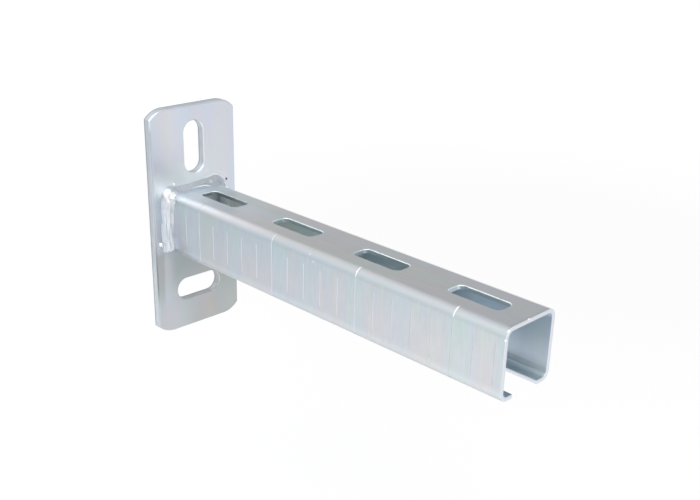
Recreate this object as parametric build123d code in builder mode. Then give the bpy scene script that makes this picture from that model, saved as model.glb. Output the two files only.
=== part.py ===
"""Cantilever strut arm: a slotted steel channel welded square to a flat wall plate.

X leaves the wall along the arm, Y runs across the plate and Z is up. The origin lies on
the plate's back face, level with the middle of the arm. All sizes are in millimetres.
"""

import os

from build123d import *

# Wall plate, blanked from flat bar
PLATE_WIDTH = 48.0
PLATE_HEIGHT = 110.0
PLATE_THICK = 4.0
PLATE_CORNER_R = 12.0
PLATE_CORNER_OVERHANG = 3.0  # the cropping tool is wider than the bar, so its arcs meet the sides at an angle
PLATE_EDGE_R = 0.9  # the blanking tool rolls the front edge over; the back edge stays sharp

# Fixing slots in the plate: one upright above the arm, one level below it
FIX_SLOT_WIDTH = 11.0
FIX_SLOT_LENGTH = 25.0
FIX_SLOT_RIM = 0.4  # the punch breaks the front edge of each slot by this much

# Arm: cold-rolled C channel, open side down, with plain inturned lips
REACH = 200.0  # wall face to the arm's tip
ARM_WIDTH = 30.0
ARM_HEIGHT = 30.0
ARM_WALL = 1.75
BEND_INNER_R = 2.5
LIP = 7.5  # outer side face to the lip's edge
STRIP_EDGE_R = 0.35  # mill-rounded edge of the strip, along both lips
TIP_CHAMFER = 0.2  # deburred outer edge of the cut end

# Slots punched through the arm's web
WEB_SLOT_WIDTH = 9.0
WEB_SLOT_LENGTH = 25.0
WEB_SLOT_CORNER_R = 2.5
WEB_SLOT_RIM = 0.3
WEB_SLOT_PITCH = 50.0
WEB_SLOT_TIP_GAP = 24.0  # centre of the last slot to the arm's tip
WEB_SLOT_WELD_GAP = 3.0  # least metal between the weld and the first slot

# Length marks scored into the near side only, with a long one at each slot's centre
MARKS_PER_SLOT = 5
MARK_WIDTH = 0.55
MARK_DEPTH = 0.12
SHORT_MARK_LENGTH = 16.0
LONG_MARK_TURN = 45.0  # degrees that a long mark follows the lower bend
MARK_TIP_GAP = 3.0  # least distance from a mark to the arm's tip

# Fillet welds. A slice is given by its leg on the plate, its leg on the arm and its crown, which is how
# far the face bulges past the straight line between its toes; a crown below zero makes the face hollow.
NEAR_WELD = (5.4, 2.8, 0.6)
FAR_WELD = (3.1, 3.0, 0.4)
TOP_WELD = (3.0, 4.2, -0.7)
NEAR_CORNER_WELD = (5.1, 4.5, 0.6)  # a lump, where the near run stops and the top one starts
FAR_CORNER_WELD = (3.6, 4.0, 0.2)
FOOT_WELD = (5.4, 2.6, 0.5)
WELD_WAVE = 0.06  # share by which a hand-laid run swells and thins
FOOT_WELD_TURN = 40.0  # degrees that a side run follows the lower bend
FOOT_WELD_BEVEL = 1.2

# Sizes that follow from the ones above
BEND_OUTER_R = BEND_INNER_R + ARM_WALL
HALF_WIDTH = ARM_WIDTH / 2
HALF_HEIGHT = ARM_HEIGHT / 2
SIDE_FLAT = ARM_HEIGHT - 2 * BEND_OUTER_R
WEB_FLAT = ARM_WIDTH - 2 * BEND_OUTER_R
ARM_LENGTH = REACH - PLATE_THICK
FIX_SLOT_OFFSET = (HALF_HEIGHT + PLATE_HEIGHT / 2) / 2  # midway from the arm to the plate's end
WELD_END_X = PLATE_THICK + max(NEAR_WELD[1], TOP_WELD[1], NEAR_CORNER_WELD[1], FAR_CORNER_WELD[1])
LAST_SLOT_X = REACH - WEB_SLOT_TIP_GAP
FIRST_SLOT_LIMIT = WELD_END_X + WEB_SLOT_WELD_GAP + WEB_SLOT_LENGTH / 2
SLOT_COUNT = int((LAST_SLOT_X - FIRST_SLOT_LIMIT) // WEB_SLOT_PITCH) + 1
MARK_PITCH = WEB_SLOT_PITCH / MARKS_PER_SLOT


def slot_centres():
    """Distances from the wall to the web slots, the one at the tip first."""
    return [LAST_SLOT_X - index * WEB_SLOT_PITCH for index in range(SLOT_COUNT)]


def mark_places():
    """Each length mark's distance from the wall, and whether it is a long one."""
    first_step = int((WELD_END_X - LAST_SLOT_X) // MARK_PITCH) + 1
    last_step = int((WEB_SLOT_TIP_GAP - MARK_TIP_GAP) // MARK_PITCH)
    steps = range(first_step, last_step + 1)
    return [(LAST_SLOT_X + step * MARK_PITCH, step % MARKS_PER_SLOT == 0) for step in steps]


def is_outer(edge):
    """True where an edge of the cut end lies on the channel's outer faces, not its inner ones."""
    middle = edge @ 0.5
    on_side = abs(middle.Y) > HALF_WIDTH - ARM_WALL / 2
    on_web_or_lip = abs(middle.Z) > HALF_HEIGHT - ARM_WALL / 2
    return on_side or on_web_or_lip


def weld_section(plane, sizes):
    """One slice of a fillet weld: two straight legs from the root, closed by a crowned or hollow face."""
    plate_leg, arm_leg, crown = sizes
    face_length = (plate_leg**2 + arm_leg**2) ** 0.5
    crown_point = (
        plate_leg / 2 + crown * arm_leg / face_length,
        arm_leg / 2 + crown * plate_leg / face_length,
    )
    with BuildSketch(plane) as section:
        with BuildLine():
            Polyline((0, arm_leg), (0, 0), (plate_leg, 0))
            ThreePointArc((plate_leg, 0), crown_point, (0, arm_leg))
        make_face()
    return section.sketch


def run_sections(start, end, outward, sizes_along):
    """Weld slices from one point of the root to another, with the sizes that each one has."""
    facing = outward.cross(Vector(1, 0, 0))
    slices = []
    for share, sizes in sizes_along:
        place = Plane(origin=start + (end - start) * share, x_dir=outward, z_dir=facing)
        slices.append(weld_section(place, sizes))
    return slices


def scaled(sizes, factor):
    """A weld slice with both its legs grown or thinned by one factor."""
    plate_leg, arm_leg, crown = sizes
    return (plate_leg * factor, arm_leg * factor, crown)


def bend_axis(side, level):
    """Centre line of one bend of the channel; side and level are -1 or +1."""
    return Axis((0, side * WEB_FLAT / 2, level * SIDE_FLAT / 2), (1, 0, 0))


with BuildPart() as wall_plate:
    with BuildSketch(Plane.YZ):
        Rectangle(PLATE_WIDTH, PLATE_HEIGHT)
        tool_width = PLATE_WIDTH + 2 * PLATE_CORNER_OVERHANG
        RectangleRounded(tool_width, PLATE_HEIGHT, PLATE_CORNER_R, mode=Mode.INTERSECT)
    extrude(amount=PLATE_THICK)
    front_face = wall_plate.faces().sort_by(Axis.X)[-1]
    fillet(front_face.edges(), PLATE_EDGE_R)
    with BuildSketch(Plane.YZ):
        with Locations((0, FIX_SLOT_OFFSET)):
            SlotOverall(FIX_SLOT_LENGTH, FIX_SLOT_WIDTH, rotation=90)
        with Locations((0, -FIX_SLOT_OFFSET)):
            SlotOverall(FIX_SLOT_LENGTH, FIX_SLOT_WIDTH)
    extrude(amount=PLATE_THICK, mode=Mode.SUBTRACT)
    front_face = wall_plate.faces().filter_by(Axis.X).sort_by(Axis.X)[-1]
    slot_rims = [edge for wire in front_face.inner_wires() for edge in wire.edges()]
    chamfer(slot_rims, FIX_SLOT_RIM)

with BuildPart() as channel_arm:
    with BuildSketch(Plane.YZ.offset(PLATE_THICK)):
        with BuildLine():
            outline = FilletPolyline(
                (-HALF_WIDTH + LIP, -HALF_HEIGHT),
                (-HALF_WIDTH, -HALF_HEIGHT),
                (-HALF_WIDTH, HALF_HEIGHT),
                (HALF_WIDTH, HALF_HEIGHT),
                (HALF_WIDTH, -HALF_HEIGHT),
                (HALF_WIDTH - LIP, -HALF_HEIGHT),
                radius=BEND_OUTER_R,
            )
            offset(outline, amount=ARM_WALL, side=Side.RIGHT)
        make_face()
    extrude(amount=ARM_LENGTH)
    # The strip's own edges run along both lips
    lip_edge_faces = channel_arm.faces().filter_by(Axis.Y).group_by(SortBy.AREA)[0]
    fillet(lip_edge_faces.edges().filter_by(Axis.X), STRIP_EDGE_R)
    # Web slots, with the rim that the punch leaves on top
    with BuildSketch(Plane.XY.offset(HALF_HEIGHT)):
        with Locations(*[(slot_x, 0) for slot_x in slot_centres()]):
            RectangleRounded(WEB_SLOT_LENGTH, WEB_SLOT_WIDTH, WEB_SLOT_CORNER_R)
    extrude(amount=-ARM_WALL, mode=Mode.SUBTRACT)
    web_face = channel_arm.faces().filter_by(Axis.Z).sort_by(Axis.Z)[-1]
    slot_rims = [edge for wire in web_face.inner_wires() for edge in wire.edges()]
    chamfer(slot_rims, WEB_SLOT_RIM)
    # The cut end, deburred along its outer edge only
    tip_edges = channel_arm.faces().sort_by(Axis.X)[-1].edges()
    chamfer([edge for edge in tip_edges if is_outer(edge)], TIP_CHAMFER)
    # Length marks: short ones on the flat of the side, long ones carried round both bends
    for mark_x, is_long in mark_places():
        with BuildSketch(Plane.YZ.offset(mark_x - MARK_WIDTH / 2)):
            with BuildLine():
                if is_long:
                    CenterArc((-WEB_FLAT / 2, SIDE_FLAT / 2), BEND_OUTER_R, 90, 90)
                    Line((-HALF_WIDTH, SIDE_FLAT / 2), (-HALF_WIDTH, -SIDE_FLAT / 2))
                    CenterArc((-WEB_FLAT / 2, -SIDE_FLAT / 2), BEND_OUTER_R, 180, LONG_MARK_TURN)
                else:
                    Line((-HALF_WIDTH, -SHORT_MARK_LENGTH / 2), (-HALF_WIDTH, SHORT_MARK_LENGTH / 2))
            trace(line_width=2 * MARK_DEPTH)
        extrude(amount=MARK_WIDTH, mode=Mode.SUBTRACT)

# An upright run on each side, turned round the bend above it and a little way round the one below
side_runs = (
    (-1, FOOT_WELD, NEAR_WELD, NEAR_CORNER_WELD),
    (1, FAR_WELD, FAR_WELD, FAR_CORNER_WELD),
)
side_welds = []
for side, foot_sizes, sizes, corner_sizes in side_runs:
    sizes_along = (
        (0.0, foot_sizes),
        (0.25, scaled(sizes, 1 + WELD_WAVE)),
        (0.5, scaled(sizes, 1 - WELD_WAVE)),
        (0.75, sizes),
        (1.0, corner_sizes),
    )
    root_low = Vector(PLATE_THICK, side * HALF_WIDTH, -SIDE_FLAT / 2)
    root_high = Vector(PLATE_THICK, side * HALF_WIDTH, SIDE_FLAT / 2)
    slices = run_sections(root_low, root_high, Vector(0, side, 0), sizes_along)
    with BuildPart() as side_weld:
        loft(slices, ruled=True)
        revolve(slices[-1], axis=bend_axis(side, 1), revolution_arc=side * 90)
        revolve(slices[0], axis=bend_axis(side, -1), revolution_arc=-side * FOOT_WELD_TURN)
        foot_face = side_weld.faces().sort_by(Axis.Z)[0]
        chamfer(foot_face.edges().filter_by(GeomType.CIRCLE), FOOT_WELD_BEVEL)
    side_welds.append(side_weld)
weld_near, weld_far = side_welds

# The run across the web joins the two corners
top_sizes_along = (
    (0.0, NEAR_CORNER_WELD),
    (0.2, TOP_WELD),
    (0.5, scaled(TOP_WELD, 1 + WELD_WAVE)),
    (0.8, scaled(TOP_WELD, 1 - WELD_WAVE)),
    (1.0, FAR_CORNER_WELD),
)
with BuildPart() as weld_top:
    root_near = Vector(PLATE_THICK, -WEB_FLAT / 2, HALF_HEIGHT)
    root_far = Vector(PLATE_THICK, WEB_FLAT / 2, HALF_HEIGHT)
    loft(run_sections(root_near, root_far, Vector(0, 0, 1), top_sizes_along), ruled=True)

wall_plate.part.label = "wall_plate"
channel_arm.part.label = "channel_arm"
weld_near.part.label = "weld_near"
weld_far.part.label = "weld_far"
weld_top.part.label = "weld_top"

os.makedirs("parts", exist_ok=True)
export_step(wall_plate.part, "parts/wall_plate.step")
export_step(channel_arm.part, "parts/channel_arm.step")
export_step(weld_near.part, "parts/weld_near.step")
export_step(weld_far.part, "parts/weld_far.step")
export_step(weld_top.part, "parts/weld_top.step")
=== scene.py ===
"""Looks of the cantilever strut arm: zinc plated plate and channel, hand-laid welds, pale studio.

All sizes are in metres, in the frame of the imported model: X leaves the wall along the arm, Z is
up, and the side with the length marks faces -Y.
"""

import math

import bmesh
import bpy
import numpy as np
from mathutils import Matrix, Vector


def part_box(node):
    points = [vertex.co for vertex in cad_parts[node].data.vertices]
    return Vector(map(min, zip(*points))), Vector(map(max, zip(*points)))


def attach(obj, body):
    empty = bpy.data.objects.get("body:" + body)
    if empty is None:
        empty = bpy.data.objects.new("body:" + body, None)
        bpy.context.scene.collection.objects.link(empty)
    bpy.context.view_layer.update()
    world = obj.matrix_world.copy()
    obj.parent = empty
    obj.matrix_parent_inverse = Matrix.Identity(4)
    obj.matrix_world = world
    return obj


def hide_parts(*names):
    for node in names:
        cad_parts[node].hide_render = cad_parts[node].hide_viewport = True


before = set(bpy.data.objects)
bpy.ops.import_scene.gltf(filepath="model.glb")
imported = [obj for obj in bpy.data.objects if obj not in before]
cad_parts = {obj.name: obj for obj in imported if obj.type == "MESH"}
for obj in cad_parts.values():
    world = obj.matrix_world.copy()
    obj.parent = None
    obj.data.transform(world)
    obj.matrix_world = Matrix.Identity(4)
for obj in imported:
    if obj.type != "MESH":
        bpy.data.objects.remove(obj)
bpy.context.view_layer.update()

MM = 0.001
WHITE = (1, 1, 1)

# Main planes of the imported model
PLATE_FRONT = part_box("wall_plate")[1].x
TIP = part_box("channel_arm")[1].x
HALF_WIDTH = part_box("channel_arm")[1].y
HALF_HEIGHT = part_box("channel_arm")[1].z

# Sizes of the channel that its finish and the welds follow
BEND_R = 4.25 * MM
WALL = 1.75 * MM
LIP_EDGE = 7.5 * MM  # middle of the arm to the edge of either lip
SIDE_FLAT = 2 * (HALF_HEIGHT - BEND_R)
WEB_FLAT = 2 * (HALF_WIDTH - BEND_R)

# Distances along the channel's outer outline, from the near foot over the web to the far foot, at
# which it starts, passes from bend to flat or back, and ends
FOOT_TURN = math.radians(40)
FOOT_BEND = BEND_R * FOOT_TURN
FULL_BEND = BEND_R * math.pi / 2
OUTLINE_KNOTS = np.cumsum([0, FOOT_BEND, SIDE_FLAT, FULL_BEND, WEB_FLAT, FULL_BEND, SIDE_FLAT, FOOT_BEND])

# Length marks on the near side: a long one at each slot's middle, short ones between
MARK_PITCH = 10 * MM
LONG_MARK_PITCH = 50 * MM
LONG_MARK_X = TIP - 24 * MM
FIRST_MARK_X = 14 * MM
MARK_HALF_WIDTH = 0.27 * MM
MARK_FADE = 0.12 * MM
SHORT_MARK_REACH = 8 * MM
LONG_MARK_LOW = 12.8 * MM

# Welds
WELD_SINK = 0.06 * MM  # the toes and the root lie this far inside the metal that they are fused to
WELD_STEP = 0.12 * MM
WELD_ACROSS = 48
KNEE_STEPS = 14  # steps on either side over which a change of section is rounded
RUN_OUT = 1.6 * MM  # length of the taper at either end of a run
RUN_END = 0.02  # share of the taper that is left off, so that a run's ends aren't quite points
TOE_RIPPLE = 2.2 * MM  # spacing of the toes' wander
PLATE_TOE_WANDER = 0.06
ARM_TOE_WANDER = 0.05
STREAK_LENGTH = 7.0 * MM
STREAKS_ACROSS = 9
THREADS_ACROSS = 19

# Drops of spatter
DROP_AROUND = 22
DROP_LEVELS = 8
DROP_LOBES = 5
DROP_UNEVENNESS = 0.14
DROP_CROWN = 0.01 * MM  # radius of the small flat that closes a drop's top
DROP_SEED = 50
ASKEW = (0.3, 0.5, 0.81)  # a direction that no drop faces


# Numbers on a grid

def soft_noise(rows, columns, cells_along, cells_across, seed):
    """Random heights from -1 to 1 on a coarse grid, blended between its corners by smooth steps."""
    coarse = np.random.default_rng(seed).uniform(-1, 1, (cells_along + 2, cells_across + 2))
    along = np.linspace(0, cells_along, rows)
    across = np.linspace(0, cells_across, columns)
    row = along.astype(int)[:, None]
    column = across.astype(int)[None, :]
    u = along[:, None] - row
    v = across[None, :] - column
    u = u * u * (3 - 2 * u)
    v = v * v * (3 - 2 * v)
    low = coarse[row, column] * (1 - v) + coarse[row, column + 1] * v
    high = coarse[row + 1, column] * (1 - v) + coarse[row + 1, column + 1] * v
    return low * (1 - u) + high * u


def channel_outline(distance):
    """Outer outline of the channel, from the near foot over the web to the far foot.

    A centre moves along the flats and waits at each bend, while the normal turns only at the
    bends: point = centre + bend radius x normal. Returns points and normals as (y, z) arrays.
    """
    w = WEB_FLAT / 2
    h = SIDE_FLAT / 2
    turns = [math.pi + FOOT_TURN, math.pi, math.pi, math.pi / 2, math.pi / 2, 0, 0, -FOOT_TURN]
    turn = np.interp(distance, OUTLINE_KNOTS, turns)
    centre_y = np.interp(distance, OUTLINE_KNOTS, [-w, -w, -w, -w, w, w, w, w])
    centre_z = np.interp(distance, OUTLINE_KNOTS, [-h, -h, h, h, h, h, -h, -h])
    centre = np.stack([centre_y, centre_z], axis=-1)
    normal = np.stack([np.cos(turn), np.sin(turn)], axis=-1)
    return centre + BEND_R * normal, normal


def linked(name, data):
    """A new object at the origin, in the scene."""
    made = bpy.data.objects.new(name, data)
    bpy.context.scene.collection.objects.link(made)
    return made


def closed_sleeve(name, rings):
    """A closed mesh from rings of points: quads join each ring to the next and a face caps each end."""
    count, around = rings.shape[:2]
    ring = np.arange(count - 1)[:, None] * around
    step = np.arange(around)[None, :]
    following = (step + 1) % around
    here = ring + step
    beside = ring + following
    quads = np.stack([here, beside, beside + around, here + around], axis=-1)
    faces = quads.reshape(-1, 4).tolist()
    faces.append(list(range(around))[::-1])
    faces.append([(count - 1) * around + index for index in range(around)])
    mesh = bpy.data.meshes.new(name)
    mesh.from_pydata(rings.reshape(-1, 3).tolist(), [], faces)
    mesh.polygons.foreach_set("use_smooth", np.ones(len(mesh.polygons), bool))
    mesh.update()
    return linked(name, mesh)


# Welds

def evened(values, reach):
    """Values with their knees rounded by a moving mean, weighted by a raised cosine of that reach."""
    weights = 1 - np.cos(np.linspace(0, 2 * math.pi, 2 * reach + 3)[1:-1])
    return np.convolve(np.pad(values, reach, mode="edge"), weights / weights.sum(), mode="valid")


def weld_bead(name, start, end, slices, lumps, unevenness, seed):
    """One run of weld, carried along the channel's outline.

    Its section has two legs from the root, one up the plate and one along the arm. Between their
    toes the face is the straight line plus height x outward, and that height is a crown of
    4t(1 - t), long streaks of smooth noise and single lumps, each a bell curve. Slices are
    (distance, plate leg, arm leg, crown) in metres and lumps (distance, share across, reach
    along, reach across, rise). The legs wander a little, and shrink to nothing at both ends by a
    quarter of an ellipse.
    """
    rows = int((end - start) / WELD_STEP) + 1
    s = np.linspace(start, end, rows)
    t = np.linspace(0, 1, WELD_ACROSS)
    point, normal = channel_outline(s)
    place, plate_leg, arm_leg, crown = np.array(slices).T
    to_end = np.clip(np.minimum(s - start, end - s) / RUN_OUT, RUN_END, 1)
    roundness = np.sqrt(1 - (1 - to_end) ** 2)
    short_cells = max(3, int((end - start) / TOE_RIPPLE))
    long_cells = max(2, int((end - start) / STREAK_LENGTH))
    plate_wander = 1 + PLATE_TOE_WANDER * soft_noise(rows, 1, short_cells, 1, seed)[:, 0]
    arm_wander = 1 + ARM_TOE_WANDER * soft_noise(rows, 1, short_cells, 1, seed + 1)[:, 0]
    plate_leg = evened(np.interp(s, place, plate_leg), KNEE_STEPS) * roundness * plate_wander
    arm_leg = evened(np.interp(s, place, arm_leg), KNEE_STEPS) * roundness * arm_wander
    crown = evened(np.interp(s, place, crown), KNEE_STEPS)[:, None]

    s_grid = s[:, None]
    t_grid = t[None, :]
    arch = 4 * t_grid * (1 - t_grid)
    streaks = unevenness * soft_noise(rows, WELD_ACROSS, long_cells, STREAKS_ACROSS, seed + 2)
    threads = unevenness / 3 * soft_noise(rows, WELD_ACROSS, 2 * long_cells, THREADS_ACROSS, seed + 3)
    height = arch * (crown + streaks + threads)
    for lump_s, lump_t, reach_s, reach_t, rise in lumps:
        off_lump = ((s_grid - lump_s) / reach_s) ** 2 + ((t_grid - lump_t) / reach_t) ** 2
        height = height + rise * np.exp(-off_lump)
    height = height * roundness[:, None]

    face_length = np.hypot(plate_leg, arm_leg)
    out_plate = (arm_leg / face_length)[:, None]
    out_arm = (plate_leg / face_length)[:, None]
    up = (1 - t_grid) * plate_leg[:, None] + height * out_plate
    along = t_grid * arm_leg[:, None] + height * out_arm
    along[:, 0] = -WELD_SINK
    up[:, -1] = -WELD_SINK
    root = np.full((rows, 1), -WELD_SINK)
    up = np.concatenate([up, root], axis=1)
    along = np.concatenate([along, root], axis=1)
    across = point[:, None, :] + up[..., None] * normal[:, None, :]
    return closed_sleeve(name, np.concatenate([(PLATE_FRONT + along)[..., None], across], axis=-1))


def spatter_drop(name, centre, normal, across, height, seed):
    """One drop of spatter: a dome whose rise is a sine and whose reach is a cosine of the same angle,
    over an uneven round foot that is sunk a little into the metal under it."""
    level = np.linspace(0, math.pi / 2, DROP_LEVELS)[:, None]
    angle = np.linspace(0, 2 * math.pi, DROP_AROUND, endpoint=False)[None, :]
    uneven = 1 + DROP_UNEVENNESS * soft_noise(1, DROP_AROUND, 1, DROP_LOBES, seed) * np.sin(angle / 2)
    reach = across / 2 * np.cos(level) * uneven + DROP_CROWN
    sink = 2 * WELD_SINK
    rise = -sink + (height + sink) * np.sin(level)
    normal = np.array(normal) / np.linalg.norm(normal)
    aside = np.cross(normal, ASKEW)
    aside = aside / np.linalg.norm(aside)
    onward = np.cross(normal, aside)
    rings = (
        np.array(centre)
        + rise[..., None] * normal
        + (reach * np.cos(angle))[..., None] * aside
        + (reach * np.sin(angle))[..., None] * onward
    )
    return closed_sleeve(name, rings)


def joined(name, pieces):
    """Several pieces made one."""
    with bpy.context.temp_override(active_object=pieces[0], selected_editable_objects=pieces):
        bpy.ops.object.join()
    pieces[0].name = name
    pieces[0].data.name = name
    return pieces[0]


def face_outwards(piece):
    """Turns every face of a closed piece outwards."""
    shell = bmesh.new()
    shell.from_mesh(piece.data)
    bmesh.ops.recalc_face_normals(shell, faces=shell.faces)
    shell.to_mesh(piece.data)
    shell.free()


# Node helpers

def new_group(name, inputs, outputs):
    """An empty node group; its sockets are given by name, each with its kind."""
    group = bpy.data.node_groups.new(name, "ShaderNodeTree")
    for way, sockets in (("INPUT", inputs), ("OUTPUT", outputs)):
        for label, kind in sockets.items():
            group.interface.new_socket(name=label, in_out=way, socket_type="NodeSocket" + kind)
    return group, group.nodes.new("NodeGroupInput").outputs, group.nodes.new("NodeGroupOutput").inputs


def feed(tree, socket, value):
    """Gives a socket its value: a link where value is another socket, else a constant. A constant
    colour is given as red, green and blue."""
    if isinstance(value, bpy.types.NodeSocket):
        tree.links.new(value, socket)
    else:
        socket.default_value = (*value, 1) if socket.type == "RGBA" else value


def add(tree, kind, settings=None, **inputs):
    """Adds a shader node; settings are its fields and inputs its sockets by name, with _ for a space."""
    node = tree.nodes.new("ShaderNode" + kind)
    for field, value in (settings or {}).items():
        setattr(node, field, value)
    for label, value in inputs.items():
        feed(tree, node.inputs[label.replace("_", " ")], value)
    return node


def maths(tree, operation, *values):
    """One step of arithmetic on numbers or sockets."""
    node = add(tree, "Math", {"operation": operation})
    for socket, value in zip(node.inputs, values):
        feed(tree, socket, value)
    return node.outputs[0]


def chained(tree, operation, first, *others):
    """A row of numbers or sockets, taken together by one kind of step."""
    for other in others:
        first = maths(tree, operation, first, other)
    return first


def product(tree, *values):
    """Numbers or sockets multiplied together."""
    return chained(tree, "MULTIPLY", *values)


def total(tree, *values):
    """Numbers or sockets added up."""
    return chained(tree, "ADD", *values)


def largest(tree, *values):
    """The largest of some numbers or sockets."""
    return chained(tree, "MAXIMUM", *values)


def opposite(tree, mask):
    """One less a mask."""
    return maths(tree, "SUBTRACT", 1.0, mask)


def distance_from(tree, value, place):
    """How far a value lies from a place, on either side of it."""
    return maths(tree, "ABSOLUTE", maths(tree, "SUBTRACT", value, place))


def swing(tree, value, reach):
    """Noise from 0 to 1 made to swing about zero, by half the reach either way."""
    return product(tree, maths(tree, "SUBTRACT", value, 0.5), reach)


def vector_maths(tree, operation, *values, result="Vector"):
    """One step of vector arithmetic; returns the vector, or the number called Value."""
    node = add(tree, "VectorMath", {"operation": operation})
    for socket, value in zip(node.inputs, values):
        feed(tree, socket, value)
    return node.outputs[result]


def parts_of(tree, vector):
    """The three parts of a vector."""
    node = add(tree, "SeparateXYZ", Vector=vector)
    return node.outputs[0], node.outputs[1], node.outputs[2]


def absolute_parts(tree, vector):
    """The sizes of a vector's three parts, without their signs."""
    return parts_of(tree, vector_maths(tree, "ABSOLUTE", vector))


def fade(tree, value, start, end, low=0.0, high=1.0):
    """Goes smoothly from low at start to high at end."""
    limits = {"From_Min": start, "From_Max": end, "To_Min": low, "To_Max": high}
    node = add(tree, "MapRange", {"interpolation_type": "SMOOTHSTEP"}, Value=value, **limits)
    return node.outputs["Result"]


def zone(tree, *spans):
    """Mask of a patch: its fades from 0 to 1 multiplied together, each along (value, start, end) in mm."""
    return product(tree, *[fade(tree, value, start * MM, end * MM) for value, start, end in spans])


def blend(tree, factor, first, second, mode="MIX"):
    """Mixes or multiplies two colours."""
    node = add(tree, "Mix", {"data_type": "RGBA", "blend_type": mode})
    feed(tree, node.inputs["Factor"], factor)
    feed(tree, node.inputs[6], first)
    feed(tree, node.inputs[7], second)
    return node.outputs[2]


def multiplied(tree, first, second):
    """Two colours multiplied together."""
    return blend(tree, 1.0, first, second, "MULTIPLY")


def shaded(tree, colour, level):
    """A colour made darker or paler by a number."""
    grey = add(tree, "CombineColor", Red=level, Green=level, Blue=level).outputs[0]
    return multiplied(tree, colour, grey)


def tinted(tree, colour, factor, tint):
    """A colour multiplied by a tint, as far as the factor says."""
    return blend(tree, factor, colour, multiplied(tree, colour, tint))


def patched(tree, colour, patches, **measures):
    """A colour tinted in patches; each has a tint and its spans, as (measure, start, end) in mm."""
    for tint, *spans in patches:
        mask = zone(tree, *[(measures[label], start, end) for label, start, end in spans])
        colour = tinted(tree, colour, mask, tint)
    return colour


def colour_ramp(tree, factor, stops):
    """A colour that runs through the given (position, colour) stops."""
    node = add(tree, "ValToRGB", Fac=factor)
    elements = node.color_ramp.elements
    while len(elements) < len(stops):
        elements.new(0.5)
    for element, (position, colour) in zip(elements, stops):
        element.position = position
        element.color = (*colour, 1)
    return node.outputs[0]


def noise(tree, vector, scale=1.0, detail=2.0, roughness=0.5):
    """Soft noise from 0 to 1."""
    node = add(tree, "TexNoise", Vector=vector, Scale=scale, Detail=detail, Roughness=roughness)
    return node.outputs["Fac"]


def spots(tree, position, places, radius):
    """One within a radius of any of the places, fading to nothing just past it; places are in mm."""
    masks = []
    for place in places:
        away = vector_maths(tree, "DISTANCE", position, [value * MM for value in place], result="Value")
        masks.append(fade(tree, away, 1.25 * radius, 0.6 * radius))
    return largest(tree, *masks)


# Effects, as node groups that the finishes place with their own values

def passivation_group():
    """Pale blue passivation: a film whose thickness drifts, so that its tint runs through soft
    blue, lilac, rose, straw and green."""
    inputs = {"Streaks": "Vector", "Strength": "Float"}
    tree, given, out = new_group("passivation film", inputs, {"Tint": "Color"})
    broad = noise(tree, given["Streaks"], scale=1.0, detail=1.5)
    fine = noise(tree, given["Streaks"], scale=4.3)
    drift = total(tree, product(tree, broad, 2.1), product(tree, fine, 0.4))
    film = colour_ramp(
        tree,
        maths(tree, "FRACT", drift),
        [
            (0.0, (0.93, 0.98, 1.0)),
            (0.22, (0.96, 0.955, 1.0)),
            (0.42, (1.0, 0.95, 0.965)),
            (0.6, (1.0, 0.98, 0.945)),
            (0.8, (0.945, 0.99, 0.965)),
            (1.0, (0.93, 0.98, 1.0)),
        ],
    )
    feed(tree, out["Tint"], blend(tree, given["Strength"], WHITE, film))
    return tree


def grain_group():
    """Rolled and pickled sheet under the plating: fine grain drawn out one way, and small dimples."""
    inputs = {"Position": "Vector", "Streaks": "Vector"}
    outputs = {"Height": "Float", "Haze": "Float", "Drawn": "Float"}
    tree, given, out = new_group("sheet grain", inputs, outputs)
    fine = noise(tree, given["Streaks"], scale=22.0)
    drawn = noise(tree, given["Streaks"], scale=7.0, detail=3.0, roughness=0.6)
    dimples = noise(tree, given["Position"], scale=1300.0)
    clouds = noise(tree, given["Position"], scale=95.0, detail=3.0)
    feed(tree, out["Height"], total(tree, product(tree, fine, 0.5), product(tree, dimples, 0.5)))
    feed(tree, out["Haze"], clouds)
    feed(tree, out["Drawn"], drawn)
    return tree


def heat_group():
    """Tint that welding leaves beside a bead: lilac blue at the toe, fading over a few
    millimetres, with thin pale lines where the film was driven off."""
    inputs = {"Distance": "Float", "Position": "Vector"}
    tree, given, out = new_group("heat tint", inputs, {"Tint": "Color", "Line": "Float"})
    wander = swing(tree, noise(tree, given["Position"], scale=120.0), 5.0 * MM)
    distance = total(tree, given["Distance"], wander)
    tint = colour_ramp(
        tree,
        zone(tree, (distance, -0.5, 6)),
        [(0.0, (0.85, 0.89, 0.93)), (0.45, (0.87, 0.91, 0.94)), (1.0, (1, 1, 1))],
    )
    feed(tree, out["Tint"], tint)
    outer = zone(tree, (distance_from(tree, distance, 3.1 * MM), 0.6, 0.1))
    inner = zone(tree, (distance_from(tree, distance, 0.9 * MM), 0.9, 0.2))
    feed(tree, out["Line"], largest(tree, product(tree, outer, 0.4), inner))
    return tree


def pin_holes_group():
    """Pin holes, far apart: the cells of a lattice of points, each with a spot at its heart, of which
    chance keeps a few."""
    inputs = {"Position": "Vector", "Scale": "Float", "Rarity": "Float", "Spot": "Float"}
    tree, given, out = new_group("pin holes", inputs, {"Mask": "Float"})
    cells = add(tree, "TexVoronoi", Vector=given["Position"], Scale=given["Scale"])
    chance = add(tree, "SeparateColor", Color=cells.outputs["Color"]).outputs["Red"]
    kept = maths(tree, "GREATER_THAN", chance, given["Rarity"])
    past_heart = maths(tree, "DIVIDE", cells.outputs["Distance"], given["Spot"])
    feed(tree, out["Mask"], product(tree, kept, largest(tree, opposite(tree, past_heart), 0.0)))
    return tree


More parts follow.
